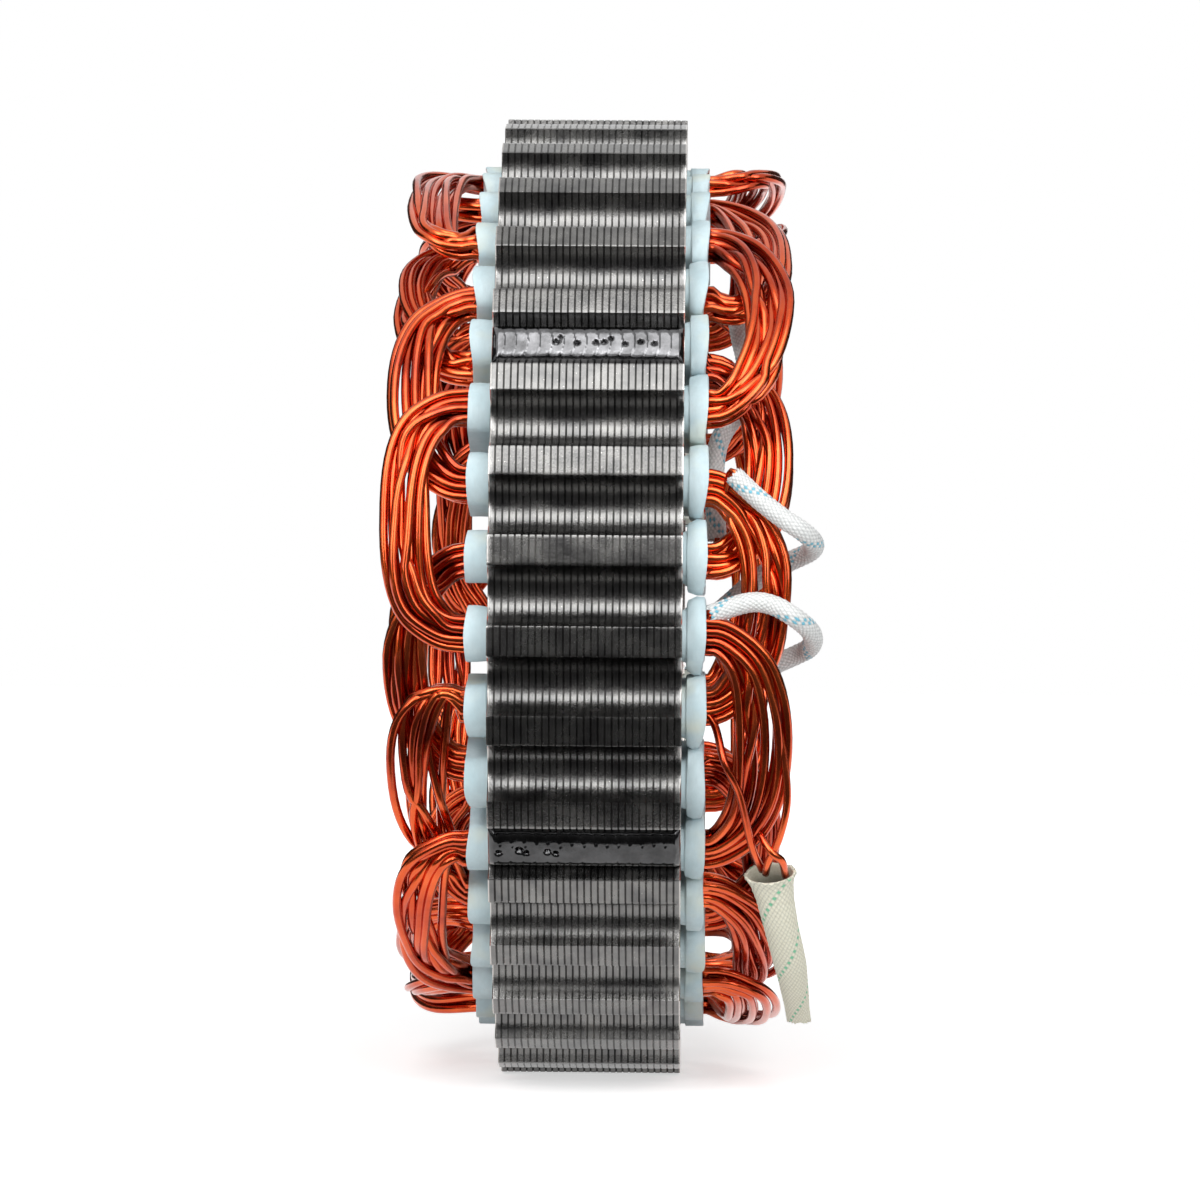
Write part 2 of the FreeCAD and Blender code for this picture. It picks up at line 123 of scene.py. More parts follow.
def piece(name, points, faces, material, replaced, sharp=None, tint=None):
    """A mesh piece in millimetres that rides on the stator and stands for the named nodes."""
    mesh = bpy.data.meshes.new(name)
    mesh.from_pydata((np.asarray(points, float) * MM).tolist(), [], faces)
    mesh.polygons.foreach_set("use_smooth", [True] * len(mesh.polygons))
    if sharp is not None:
        mesh.set_sharp_from_angle(angle=math.radians(sharp))
    if tint is not None:
        layer = mesh.color_attributes.new(name="tint", type="FLOAT_COLOR", domain="POINT")
        layer.data.foreach_set("color", np.asarray(tint, dtype=np.float32).ravel())
    mesh.validate()
    mesh.update()
    mesh.materials.append(material)
    made = bpy.data.objects.new(name, mesh)
    bpy.context.scene.collection.objects.link(made)
    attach(made, "root")
    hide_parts(*replaced)


def grid_faces(rows, columns, closed_columns=False, closed_rows=False, start=0):
    """Quads over a grid of rows x columns points, wrapped where it is closed."""
    faces = []
    for row in range(rows if closed_rows else rows - 1):
        for column in range(columns if closed_columns else columns - 1):
            across = (column + 1) % columns
            ahead = (row + 1) % rows
            faces.append((start + row * columns + column, start + row * columns + across,
                          start + ahead * columns + across, start + ahead * columns + column))
    return faces


def end_caps(rows, columns, start=0):
    """The two faces that close a tube of rings."""
    last = start + (rows - 1) * columns
    return [tuple(range(start, start + columns))[::-1], tuple(range(last, last + columns))]


def ring_frames(path):
    """Two unit vectors across a path at each of its points, carried along without twist."""
    ahead = np.gradient(path, axis=0)
    ahead /= np.linalg.norm(ahead, axis=1)[:, None]
    side = np.cross(ahead[0], (0.0, 0.3, 1.0))
    sides = []
    for direction in ahead:
        side = side - direction * side.dot(direction)
        side = side / np.linalg.norm(side)
        sides.append(side)
    sides = np.array(sides)
    return sides, np.cross(ahead, sides)


def tube_points(path, radius, sides):
    """Points of rings round a path."""
    across, up = ring_frames(path)
    turns = 2 * np.pi * np.arange(sides) / sides
    rings = across[:, None] * np.cos(turns)[None, :, None] + up[:, None] * np.sin(turns)[None, :, None]
    return path[:, None] + rings * radius


def tubes(paths, radius, sides, capped):
    """Points and faces of round tubes along paths, with open or closed ends."""
    points = []
    faces = []
    start = 0
    for path in paths:
        points.append(tube_points(path, radius, sides).reshape(-1, 3))
        faces += grid_faces(len(path), sides, closed_columns=True, start=start)
        if capped:
            faces += end_caps(len(path), sides, start)
        start += len(points[-1])
    return np.vstack(points), faces


SPAN_STEPS = 40


def smooth_path(points, step):
    """A rounded curve through points, sampled at about a given step."""
    points = np.asarray(points, float)
    ends = np.vstack([2 * points[0] - points[1], points, 2 * points[-1] - points[-2]])
    dense = []
    for index in range(1, len(ends) - 2):
        before, here, there, after = ends[index - 1:index + 3]
        for share in np.linspace(0, 1, SPAN_STEPS, endpoint=False):
            dense.append(0.5 * (2 * here + (there - before) * share
                                + (2 * before - 5 * here + 4 * there - after) * share ** 2
                                + (3 * here - before - 3 * there + after) * share ** 3))
    dense.append(points[-1])
    dense = np.array(dense)
    length = np.concatenate([[0], np.cumsum(np.linalg.norm(np.diff(dense, axis=0), axis=1))])
    stops = np.linspace(0, length[-1], max(int(length[-1] / step), 4) + 1)
    return np.stack([np.interp(stops, length, dense[:, axis]) for axis in range(3)], axis=1)


def on_cylinder(height, angle, radius):
    """A point above the lead-side core face, at an angle above the horizontal on the near side."""
    turn = math.radians(angle)
    return np.array((HALF_STACK + height, -radius * math.cos(turn), radius * math.sin(turn)))


def ripple(values, scale, seed):
    """A smooth random curve over values, about one unit high."""
    source = np.random.default_rng(seed)
    total = np.zeros_like(values, dtype=float)
    for octave in range(3):
        turn = source.uniform(0, 2 * np.pi)
        total += np.sin(values * (octave + 1) * source.uniform(0.7, 1.3) / scale + turn) / (octave + 1)
    return total / 1.6


# Materials

def new_material(name):
    """A material with its nodes, its links and its one surface shader."""
    material = bpy.data.materials.new(name)
    material.use_nodes = True
    nodes = material.node_tree.nodes
    links = material.node_tree.links
    return material, nodes, links, nodes["Principled BSDF"]


def put(node, values):
    """Sets a node's inputs by name."""
    for key, value in values.items():
        node.inputs[key].default_value = value


def noise(nodes, links, scale, detail=4.0, roughness=0.55, stretch=(1, 1, 1)):
    """The factor of a noise texture in object space."""
    place = nodes.new("ShaderNodeTexCoord")
    mapping = nodes.new("ShaderNodeMapping")
    put(mapping, {"Scale": stretch})
    texture = nodes.new("ShaderNodeTexNoise")
    put(texture, {"Scale": scale, "Detail": detail, "Roughness": roughness})
    links.new(place.outputs["Object"], mapping.inputs["Vector"])
    links.new(mapping.outputs["Vector"], texture.inputs["Vector"])
    return texture.outputs["Fac"]


def ramp(nodes, links, factor, stops):
    """A colour ramp over a factor, with stops of (place, colour)."""
    node = nodes.new("ShaderNodeValToRGB")
    elements = node.color_ramp.elements
    while len(elements) < len(stops):
        elements.new(0.5)
    for element, (place, colour) in zip(elements, stops):
        element.position = place
        element.color = (*colour, 1)
    links.new(factor, node.inputs["Fac"])
    return node.outputs["Color"]


def span(nodes, links, factor, low, high, start=0.3, end=0.7):
    """A factor mapped from start..end to low..high."""
    node = nodes.new("ShaderNodeMapRange")
    put(node, {"From Min": start, "From Max": end, "To Min": low, "To Max": high})
    links.new(factor, node.inputs["Value"])
    return node.outputs["Result"]


def bump(nodes, links, shader, height, strength, distance):
    """Relief from a height factor."""
    node = nodes.new("ShaderNodeBump")
    put(node, {"Strength": strength, "Distance": distance})
    links.new(height, node.inputs["Height"])
    links.new(node.outputs["Normal"], shader.inputs["Normal"])


def mix_colour(nodes, links, factor, first, second, kind="MIX"):
    """Two colours mixed by a factor, each a fixed value or a node's output."""
    node = nodes.new("ShaderNodeMix")
    node.data_type = "RGBA"
    node.blend_type = kind
    if isinstance(factor, float):
        node.inputs["Factor"].default_value = factor
    else:
        links.new(factor, node.inputs["Factor"])
    for socket, value in (("A", first), ("B", second)):
        target = [item for item in node.inputs if item.identifier == f"{socket}_Color"][0]
        if isinstance(value, tuple):
            target.default_value = (*value, 1)
        else:
            links.new(value, target)
    return [item for item in node.outputs if item.identifier == "Result_Color"][0]


def core_material():
    """Varnished dark steel with blotches, grain from shearing, bright specks, and lighter steel at both end
    faces as a painted highlight along the end edges.
    """
    material, nodes, links, shader = new_material("varnished_core_steel")
    blotch = noise(nodes, links, 260, 5)
    grain = noise(nodes, links, 2600, 3, 0.7)
    specks = noise(nodes, links, 4200, 2, 0.6)
    base = ramp(nodes, links, blotch, [(0.3, (0.108, 0.107, 0.107)), (0.7, (0.220, 0.216, 0.209))])
    bright = ramp(nodes, links, specks, [(0.70, (0, 0, 0)), (0.76, (1, 1, 1))])
    colour = mix_colour(nodes, links, bright, base, (0.55, 0.53, 0.50))
    place = nodes.new("ShaderNodeTexCoord")
    parts = nodes.new("ShaderNodeSeparateXYZ")
    outward = nodes.new("ShaderNodeMath")
    outward.operation = "ABSOLUTE"
    links.new(place.outputs["Object"], parts.inputs[0])
    links.new(parts.outputs["X"], outward.inputs[0])
    # Lighter steel from 13.75 mm out to both end faces: a painted highlight for the bright line along the end
    # edges.
    painted_end_highlight = span(nodes, links, outward.outputs[0], 0, 1, 0.01375, 0.0139)
    colour = mix_colour(nodes, links, painted_end_highlight, colour, (0.50, 0.48, 0.46))
    links.new(colour, shader.inputs["Base Color"])
    links.new(span(nodes, links, blotch, 0.20, 0.30), shader.inputs["Roughness"])
    put(shader, {"Metallic": 1.0, "Coat Weight": 0.4, "Coat Roughness": 0.12})
    bump(nodes, links, shader, grain, 0.45, 0.00008)
    return material


def weld_material(name, low, high):
    """Weld metal under varnish, with blotches between a low and a high tone; a darker copy of it is painted
    shade on the beads that face down.
    """
    material, nodes, links, shader = new_material(name)
    blotch = noise(nodes, links, 330, 5)
    crust = noise(nodes, links, 1500, 4, 0.6)
    colour = ramp(nodes, links, blotch, [(0.3, (low, low, low * 1.05)), (0.7, (high, high, high * 1.04))])
    links.new(colour, shader.inputs["Base Color"])
    links.new(span(nodes, links, crust, 0.10, 0.22), shader.inputs["Roughness"])
    put(shader, {"Metallic": 1.0, "Coat Weight": 0.8, "Coat Roughness": 0.06})
    bump(nodes, links, shader, blotch, 0.35, 0.0005)
    return material


def wire_material(name):
    """Enamelled copper wire: a clear orange-red metal under a glossy coat, with darker varnish runs."""
    material, nodes, links, shader = new_material(name)
    run = noise(nodes, links, 90, 4)
    fine = noise(nodes, links, 900, 3, 0.6)
    colour = ramp(nodes, links, run, [(0.28, (0.30, 0.020, 0.004)), (0.45, (0.56, 0.062, 0.010)),
                                      (0.72, (0.80, 0.130, 0.024))])
    links.new(colour, shader.inputs["Base Color"])
    links.new(span(nodes, links, fine, 0.20, 0.27), shader.inputs["Roughness"])
    put(shader, {"Metallic": 1.0, "Coat Weight": 0.5, "Coat Roughness": 0.10})
    bump(nodes, links, shader, fine, 0.05, 0.00004)
    return material


def paper_material(name, light, dark):
    """Pressed insulating paper with fibres, faint blotches and patches soaked with varnish."""
    material, nodes, links, shader = new_material(name)
    blotch = noise(nodes, links, 170, 5)
    fibre = noise(nodes, links, 1500, 4, 0.65, (1, 1, 0.35))
    colour = ramp(nodes, links, blotch, [(0.30, dark), (0.66, light)])
    colour = mix_colour(nodes, links, span(nodes, links, fibre, 0.0, 0.35), colour,
                        tuple(value * 0.72 for value in light))
    soaked = ramp(nodes, links, noise(nodes, links, 95, 3), [(0.52, (0, 0, 0)), (0.70, (1, 1, 1))])
    colour = mix_colour(nodes, links, soaked, colour, (0.66, 0.72, 0.64))
    links.new(colour, shader.inputs["Base Color"])
    put(shader, {"Roughness": 0.62, "Specular IOR Level": 0.35})
    bump(nodes, links, shader, fibre, 0.35, 0.00012)
    return material


def sleeve_material(name, light, shade):
    """Braided glass yarn: the tint layer holds the tracer yarn's colour and the painted shade between the
    yarns and inside the mouths.
    """
    material, nodes, links, shader = new_material(name)
    fibre = noise(nodes, links, 3200, 3, 0.6)
    colour = ramp(nodes, links, fibre, [(0.3, shade), (0.62, light)])
    tint = nodes.new("ShaderNodeAttribute")
    tint.attribute_name = "tint"
    colour = mix_colour(nodes, links, 1.0, colour, tint.outputs["Color"], "MULTIPLY")
    links.new(colour, shader.inputs["Base Color"])
    put(shader, {"Roughness": 0.55, "Sheen Weight": 0.15, "Sheen Roughness": 0.4, "Subsurface Weight": 0.12,
                 "Subsurface Radius": (0.0012, 0.0012, 0.0012)})
    bump(nodes, links, shader, fibre, 0.3, 0.00008)
    return material


core_steel = core_material()
weld_metal = weld_material("varnished_weld_metal", 0.035, 0.17)
# A darker copy of the weld metal: painted shade for the beads that face down.
shaded_weld = weld_material("weld_metal_painted_shade", 0.015, 0.06)
phase_wire = wire_material("enamelled_wire")
lead_wire = wire_material("enamelled_lead_wire")
liner_paper = paper_material("liner_paper", (0.66, 0.80, 0.84), (0.50, 0.66, 0.71))
wedge_paper = paper_material("wedge_board", (0.62, 0.66, 0.60), (0.46, 0.50, 0.44))
white_braid = sleeve_material("white_braided_sleeve", (0.86, 0.87, 0.86), (0.70, 0.72, 0.72))
cream_braid = sleeve_material("cream_braided_sleeve", (0.92, 0.91, 0.76), (0.80, 0.78, 0.62))


# Core: laminations with rounded edges, scalloped rim, slotted bore

# The notch's wall stops this many degrees before the rim, and its lip goes on from there by (beyond, drop)
NOTCH_END_TURN = 2.6
NOTCH_LIP = ((0.05, 0.05), (0.19, 0.0), (0.55, 0.0))

# A point half way up a slot's wall, and the rounding of a tooth's tip
WALL_POINT = 60.5
TIP_EDGE = 0.01

# Rows of points on each strip, as (share of its thickness, depth of its rounded edge)
RIM_ROWS = ((0.0, 0.2), (0.15, 0.0), (0.85, 0.0))
TEETH_ROWS = ((0.0, 0.08), (0.5, 0.0))
STRIP_SLIP = 0.016
STRIP_TURN = 0.00022
END_EDGE = 0.13


def rim_profile():
    """Radius and angle of one pitch of the rim, from the middle of a notch to the middle of the next."""
    meet = 2 * math.degrees(math.asin(NOTCH_RADIUS / 2 / OUTER))
    wall = math.degrees(math.atan2(OUTER * math.sin(math.radians(meet)),
                                   OUTER - OUTER * math.cos(math.radians(meet))))
    half = []
    for turn in np.linspace(0, wall - NOTCH_END_TURN, 7):
        up = OUTER - NOTCH_RADIUS * math.cos(math.radians(turn))
        along = NOTCH_RADIUS * math.sin(math.radians(turn))
        half.append((math.hypot(up, along), math.degrees(math.atan2(along, up))))
    for beyond, drop in NOTCH_LIP:
        half.append((OUTER - drop, meet + math.degrees(beyond / OUTER)))
    middle = [(OUTER, PITCH / 2)]
    back = [(radius, PITCH - angle) for radius, angle in half[:0:-1]]
    return half + middle + back


def bore_profile():
    """Radius and angle of one pitch of the bore, from the middle of a tooth to the middle of the next."""
    def at(up, along):
        return math.hypot(up, along), PITCH / 2 - math.degrees(math.atan2(along, up))

    opening = SLOT_OPENING / 2
    half = [(BORE, angle) for angle in (0.0, 1.6, 3.2)]
    half += [at(BORE - TIP_EDGE, opening), at(TIP_RADIUS, opening)]
    half += [at(up, slot_half_width(up)) for up in (SHOULDER, WALL_POINT)]
    half += [at(up, along) for along, up in bow_points(0.0, 5)]
    middle = [half.pop()]
    back = [(radius, PITCH - angle) for radius, angle in half[:0:-1]]
    return half + middle + back


def lamination_skin(profile, rows_in_strip, sign):
    """A grid of points over all strips. The profile goes round, and sign is 1 where it faces outwards."""
    radius = np.array([spot[0] for spot in profile] * SLOTS)
    angle = np.radians(np.concatenate([np.array([spot[1] for spot in profile]) + PITCH * slot
                                       for slot in range(SLOTS)]))
    outline = np.stack([radius * np.cos(angle), radius * np.sin(angle)], axis=1)
    along = np.roll(outline, -1, axis=0) - np.roll(outline, 1, axis=0)
    normal = np.stack([along[:, 1], -along[:, 0]], axis=1)
    normal /= np.linalg.norm(normal, axis=1)[:, None]
    rows = []
    for strip in range(STRIPS):
        start = -HALF_STACK + STRIP_THICKNESS * strip
        slip = -abs(rng.normal(0, STRIP_SLIP))
        turn = rng.normal(0, STRIP_TURN)
        turned = outline @ np.array(((math.cos(turn), math.sin(turn)), (-math.sin(turn), math.cos(turn))))
        for place, depth in rows_in_strip:
            spot = turned + normal * sign * (slip - depth if place else -depth)
            rows.append(np.column_stack([np.full(len(spot), start + STRIP_THICKNESS * place), spot]))
    last = outline - normal * sign * rows_in_strip[0][1]
    rows.append(np.column_stack([np.full(len(last), HALF_STACK), last]))
    return np.array(rows)


def end_faces(outer_row, inner_row, start_outer, start_inner, flip):
    """One many-sided face a pitch between the rim and the bore of an end lamination."""
    def pitch_of(row, start, slot):
        count = len(row) // SLOTS
        return [start + (slot * count + step) % len(row) for step in range(count + 1)]

    faces = []
    for slot in range(SLOTS):
        face = pitch_of(outer_row, start_outer, slot) + pitch_of(inner_row, start_inner, slot)[::-1]
        faces.append(tuple(face[::-1] if flip else face))
    return faces


def make_core():
    """The rim with both end faces as one piece, and the teeth and slots as the other."""
    rim = lamination_skin(rim_profile(), RIM_ROWS, 1)
    for end in (0, -1):
        rim[end, :, 1:] *= 1 + END_EDGE / OUTER
    bore = lamination_skin(bore_profile(), TEETH_ROWS, -1)
    rim_rows, rim_columns = rim.shape[:2]
    points = [rim.reshape(-1, 3)]
    faces = grid_faces(rim_rows, rim_columns, closed_columns=True)
    start = len(points[0])
    for end, flip in ((0, False), (-1, True)):
        points += [rim[end], bore[end]]
        faces += end_faces(rim[end], bore[end], start, start + rim_columns, flip)
        start += rim_columns + bore.shape[1]
    piece("core_rim_laminations", np.vstack(points), faces, core_steel, ["stator_core"],
          sharp=30)
    teeth_faces = [face[::-1] for face in grid_faces(*bore.shape[:2], closed_columns=True)]
    piece("core_teeth_laminations", bore.reshape(-1, 3), teeth_faces, core_steel, ["stator_core"],
          sharp=35)


# Weld beads: the size of the ripples, and the (place, side, width) of the pores that are seen

BEAD_STATIONS = 170
BEAD_SHARES = 31
BEAD_END_FIT = 0.05
RIPPLE_STRIDE = 1.7
RIPPLE_BOW = 1.1
RIPPLE_HEIGHT = 0.17
PORE_DEPTH = 0.75
BEAD_RUN_OUT = 0.9
BEAD_END_SHARE = 0.35
ROOT_FIT = 0.03
SHADED_BELOW = -0.1
PORES = {2: [(-4.6, 0.1, 0.42), (-4.0, -0.7, 0.3), (-1.6, 0.3, 0.38), (1.2, 0.2, 0.4), (2.3, 0.1, 0.36),
             (3.3, -0.5, 0.33), (5.4, 0.4, 0.32), (7.6, 0.0, 0.35), (9.6, 0.3, 0.34)],
         3: [(-12.4, 0.4, 0.42), (-9.4, 0.0, 0.5), (-8.4, 0.4, 0.36), (-5.3, 0.1, 0.4), (-4.1, 0.4, 0.36)]}


def make_weld_bead(number, turn, pores):
    """A run of weld in a rim notch: a flat-topped crown with crescent ripples and open pores."""
    stations = np.linspace(-HALF_STACK + BEAD_END_FIT, HALF_STACK - BEAD_END_FIT, BEAD_STATIONS)
    x, share = np.meshgrid(stations, np.linspace(-1, 1, BEAD_SHARES), indexing="ij")
    across = share * WELD_HALF_WIDTH
    edge_radius = OUTER - math.sqrt(NOTCH_RADIUS ** 2 - WELD_HALF_WIDTH ** 2)
    crown = edge_radius + (WELD_CROWN - edge_radius) * (1 - share ** 4) ** 0.5
    wander = ripple(x, 3.2, number) * 0.10 * (1 - share ** 2)
    phase = (x + RIPPLE_BOW * share ** 2 + 0.25 * ripple(x, 5.0, number + 20)) / RIPPLE_STRIDE
    crescent = RIPPLE_HEIGHT * (1 - share ** 2) * (phase - np.floor(phase)) ** 2
    up = crown + wander + crescent
    for place, side, width in pores:
        away = ((x - place) / width) ** 2 + ((across - side) / (width * 0.8)) ** 2
        up -= PORE_DEPTH * np.exp(-away ** 1.6)
    ends = np.clip((HALF_STACK - np.abs(x)) / BEAD_RUN_OUT, 0, 1)
    up = edge_radius + (up - edge_radius) * (BEAD_END_SHARE + (1 - BEAD_END_SHARE) * np.sqrt(ends))
    root = OUTER - np.sqrt(NOTCH_RADIUS ** 2 - across ** 2) + ROOT_FIT
    top = np.stack([x, up, across], axis=2)
    bottom = np.stack([x, root, across], axis=2)[:, ::-1]
    section = np.concatenate([top, bottom], axis=1)
    radial, tangent = slot_axes(turn)
    points = section[..., :1] * AXIS + section[..., 1:2] * radial + section[..., 2:] * tangent
    rows, columns = points.shape[:2]
    faces = grid_faces(rows, columns, closed_columns=True) + end_caps(rows, columns)
    # Beads whose outward side points down take the darker copy of the weld metal: painted shade.
    material = shaded_weld if radial[2] < SHADED_BELOW else weld_metal
    piece(f"weld_run_{number}", points.reshape(-1, 3), faces, material, [f"weld_bead_{number}"],
          sharp=70)


# Slot liners, with what differs between the lead side (1) and the far side (-1) as ranges of chance

LOW_CUT = {1: (0.3, 1.0), -1: (0.0, 1.2)}
HIGH_CUT = {1: (0.0, 0.25), -1: (-0.1, 0.5)}
CUFF_START = {1: 0.65, -1: 0.15}
LOW_FLARE = {1: (0.43, 0.48), -1: (-0.02, 0.10)}
HIGH_FLARE = {1: (0.46, 0.50), -1: (-0.02, 0.10)}
FLARE_DEPTH = 5.0
INSIDE_SLOT = -0.6


def liner_outline(gap):
    """Points of the liner's channel in slot coordinates (along, up), a gap inside the slot's walls."""
    foot = SHOULDER + LINER_FIT
    half_foot = slot_half_width(foot) - gap
    half = [(half_foot + (BOW_HALF - gap - half_foot) * share, foot + (BOW_START - foot) * share)
            for share in (0, 0.25, 0.5, 0.75, 0.92)]
    half += bow_points(gap, 7)
    return np.array(half + [(-along, up) for along, up in half[-2::-1]])


def make_liner(number):
    """Folded paper through one slot, with a cuff outside each core face."""
    source = np.random.default_rng(500 + number)
    outer = liner_outline(LINER_FIT - CUFF_THICKNESS)
    inner = liner_outline(LINER_FIT + LINER_THICKNESS)
    along = liner_outline(LINER_FIT)[:, 0] / BOW_HALF
    count = len(along)
    spread = np.linspace(0, 1, count)
    level = np.zeros(count)

    def wave(size):
        turns = source.uniform(0, 2 * np.pi, 3)
        return size * sum(np.sin(spread * (4 + 5 * step) + turn) / (step + 1)
                          for step, turn in enumerate(turns))

    def side_profile(side):
        """(height above the core face, outward offset) of the paper at one end, from the slot outwards."""
        cut_low = source.uniform(*LOW_CUT[side])
        cut_high = source.uniform(*HIGH_CUT[side])
        reach = (LINER_OVERHANG - 0.1 + source.uniform(-0.2, 0.0) + wave(0.05)
                 - cut_low * np.clip(along, 0, 1) ** 1.6 - cut_high * np.clip(-along, 0, 1) ** 1.6)
        begin = CUFF_START[side] + source.uniform(-0.1, 0.15) + wave(0.05)
        proud = CUFF_THICKNESS - 0.05 + wave(0.03)
        return [(level + INSIDE_SLOT, level), (begin, level + 0.02), (begin + 0.03, proud * 0.8),
                (begin + 0.16, proud), ((begin + reach) / 2, proud + wave(0.03)), (reach - 0.22, proud),
                (reach - 0.04, proud * 0.75), (reach, 0.5 * proud - 0.15), (reach - 0.05, level - 0.2),
                (reach - 0.25, level - LINER_THICKNESS), (level + INSIDE_SLOT, level - LINER_THICKNESS)]

    right = side_profile(1)
    left = side_profile(-1)
    loop = [(HALF_STACK + height, offset) for height, offset in right]
    loop += [(-HALF_STACK - height, offset) for height, offset in left[::-1]]
    # Outside the core the folded paper spreads: on the lead side until it meets the next liner.
    flares = {side: (source.uniform(*LOW_FLARE[side]), source.uniform(*HIGH_FLARE[side])) for side in (1, -1)}

    rows = []
    radial, tangent = slot_axes(FIRST_SLOT_ANGLE + PITCH * (number - FIRST_SLOT_LINER))
    for x, offset in loop:
        share = ((offset + LINER_THICKNESS) / (CUFF_THICKNESS + LINER_THICKNESS))[:, None]
        spot = inner + (outer - inner) * share
        height = np.clip(np.abs(x) - HALF_STACK, 0, LINER_OVERHANG) / LINER_OVERHANG
        low_flare, high_flare = flares[1 if x[0] > 0 else -1]
        opened = np.where(spot[:, 0] > 0, low_flare, high_flare) * np.clip(share[:, 0], 0, 1)
        opened = opened * np.clip((spot[:, 1] - SHOULDER) / FLARE_DEPTH, 0, 1) * np.clip(height * 3.5, 0, 1)
        spot = spot * np.stack([1 + opened, np.ones(count)], axis=1)
        rows.append(x[:, None] * AXIS + spot[:, 1:] * radial + spot[:, :1] * tangent)
    faces = grid_faces(len(rows), count, closed_rows=True)
    faces.append(tuple(row * count for row in range(len(rows)))[::-1])
    faces.append(tuple(row * count + count - 1 for row in range(len(rows))))
    piece(f"liner_paper_{number:02d}", np.array(rows).reshape(-1, 3), faces, liner_paper,
          [f"slot_liner_{number:02d}"], sharp=50)


# Winding: every wire of every end loop, in an outer, a middle and an inner layer

WIRES = 8
WIRE_RADIUS = 0.67
EXIT_RADII = (64.67, 61.68, 58.70)
EXIT_WIDTHS = (5.6, 5.4, 5.2)
EXIT_THICKNESS = 3.4
LEG_HEIGHT = 4.1
TURN_HEIGHT = 16.4
WINDOW_HEIGHT = 8.6
TURN_THICKNESS = 3.0
TURN_RISE = 4.2
LAYER_RADII = tuple(EXIT_RADII[1] + TURN_RISE * step for step in (1, 0, -1))
LEG_STATIONS = (-HALF_STACK, -2.0, 0.0, 2.2)
CROWN_STATIONS = 34
WIRE_SIDES = 10

# Slot wires: rows of them outwards from the slot's mouth, and their heights above the core as they join a leg
ROW_START = 57.7
ROW_STRIDE = 1.3
ROWS = 7
ROW_SHARES = (-0.95, 0.0, 0.95)
JOIN_HEIGHTS = np.array((4.0, 3.2, 2.3, 1.2, -0.5))

# The loops seen from the front, by side (1 is the lead side) and first slot. A form is the bundle's twist
# in half turns, its looseness, the lean of its crown's outer and inner edges in degrees, and its squareness.
FORMS_A = {(-1, 0): (0.1, 1.7, 0.0, 0.0, 0.25), (-1, 6): (0.6, 1.3, -1.0, -6.0, 0.15),
           (-1, -6): (0.5, 1.4, 3.0, 8.0, 0.2), (1, -3): (0.45, 1.4, 0.0, 3.0, 0.05),
           (1, 3): (0.2, 1.3, -1.0, -2.0, 0.05), (1, -9): (0.4, 1.3, 3.0, 5.0, 0.2),
           (1, 9): (0.5, 1.3, -3.0, -5.0, 0.2)}
FORMS_B = {(-1, -2): (0.2, 1.5, 0.5, 0.0, 0.1), (-1, 4): (0.5, 1.1, -3.0, -11.0, 0.15),
           (1, 1): (0.1, 1.5, 0.0, 0.0, 0.0), (1, -5): (0.4, 1.3, 4.0, 7.0, 0.2)}
FORMS_C = {(-1, 2): (0.2, 1.4, 0.0, 0.0, 0.1), (1, -1): (0.3, 1.4, 0.0, 0.0, 0.1)}


def settle(places, room, rounds, held):
    """Pushes wires of a bundle apart at each station, keeps them in their room and their runs smooth."""
    start = places.copy()
    count = places.shape[1]
    apart = 2 * WIRE_RADIUS
    far = np.eye(count)[None] * 99
    for _ in range(rounds):
        gap = places[:, :, None] - places[:, None]
        distance = np.linalg.norm(gap, axis=3) + far + 1e-6
        push = np.clip(apart - distance, 0, None) * 0.32
        places = places + (gap / distance[..., None] * push[..., None]).sum(axis=2)
        if len(places) > 4:
            places[1:-1] = 0.7 * places[1:-1] + 0.15 * (places[:-2] + places[2:])
        places = np.clip(places, -room[:, None], room[:, None])
        for station in held:
            places[station] = start[station]
    return places


def packed_slot(width):
    """Where the wires lie inside a slot, across and up from the bundle's middle."""
    room = np.array([[width / 2 - WIRE_RADIUS, EXIT_THICKNESS / 2 - WIRE_RADIUS]])
    columns = np.array([(across, up) for up in (-1, 1) for across in (-1, -0.33, 0.33, 1)])
    places = (columns + rng.normal(0, 0.08, columns.shape)) * room
    return settle(places[None], room, 200, ())[0]


SLOT_PLACES = [packed_slot(width) for width in EXIT_WIDTHS]


def nearest_order(wanted, offered):
    """Gives each wanted place its own offered one, nearest first."""
    free = list(range(len(offered)))
    order = np.zeros(len(wanted), int)
    for index in np.argsort(-np.abs(wanted[:, 0])):
        best = min(free, key=lambda spot: np.sum((offered[spot] - wanted[index]) ** 2))
        order[index] = best
        free.remove(best)
    return order


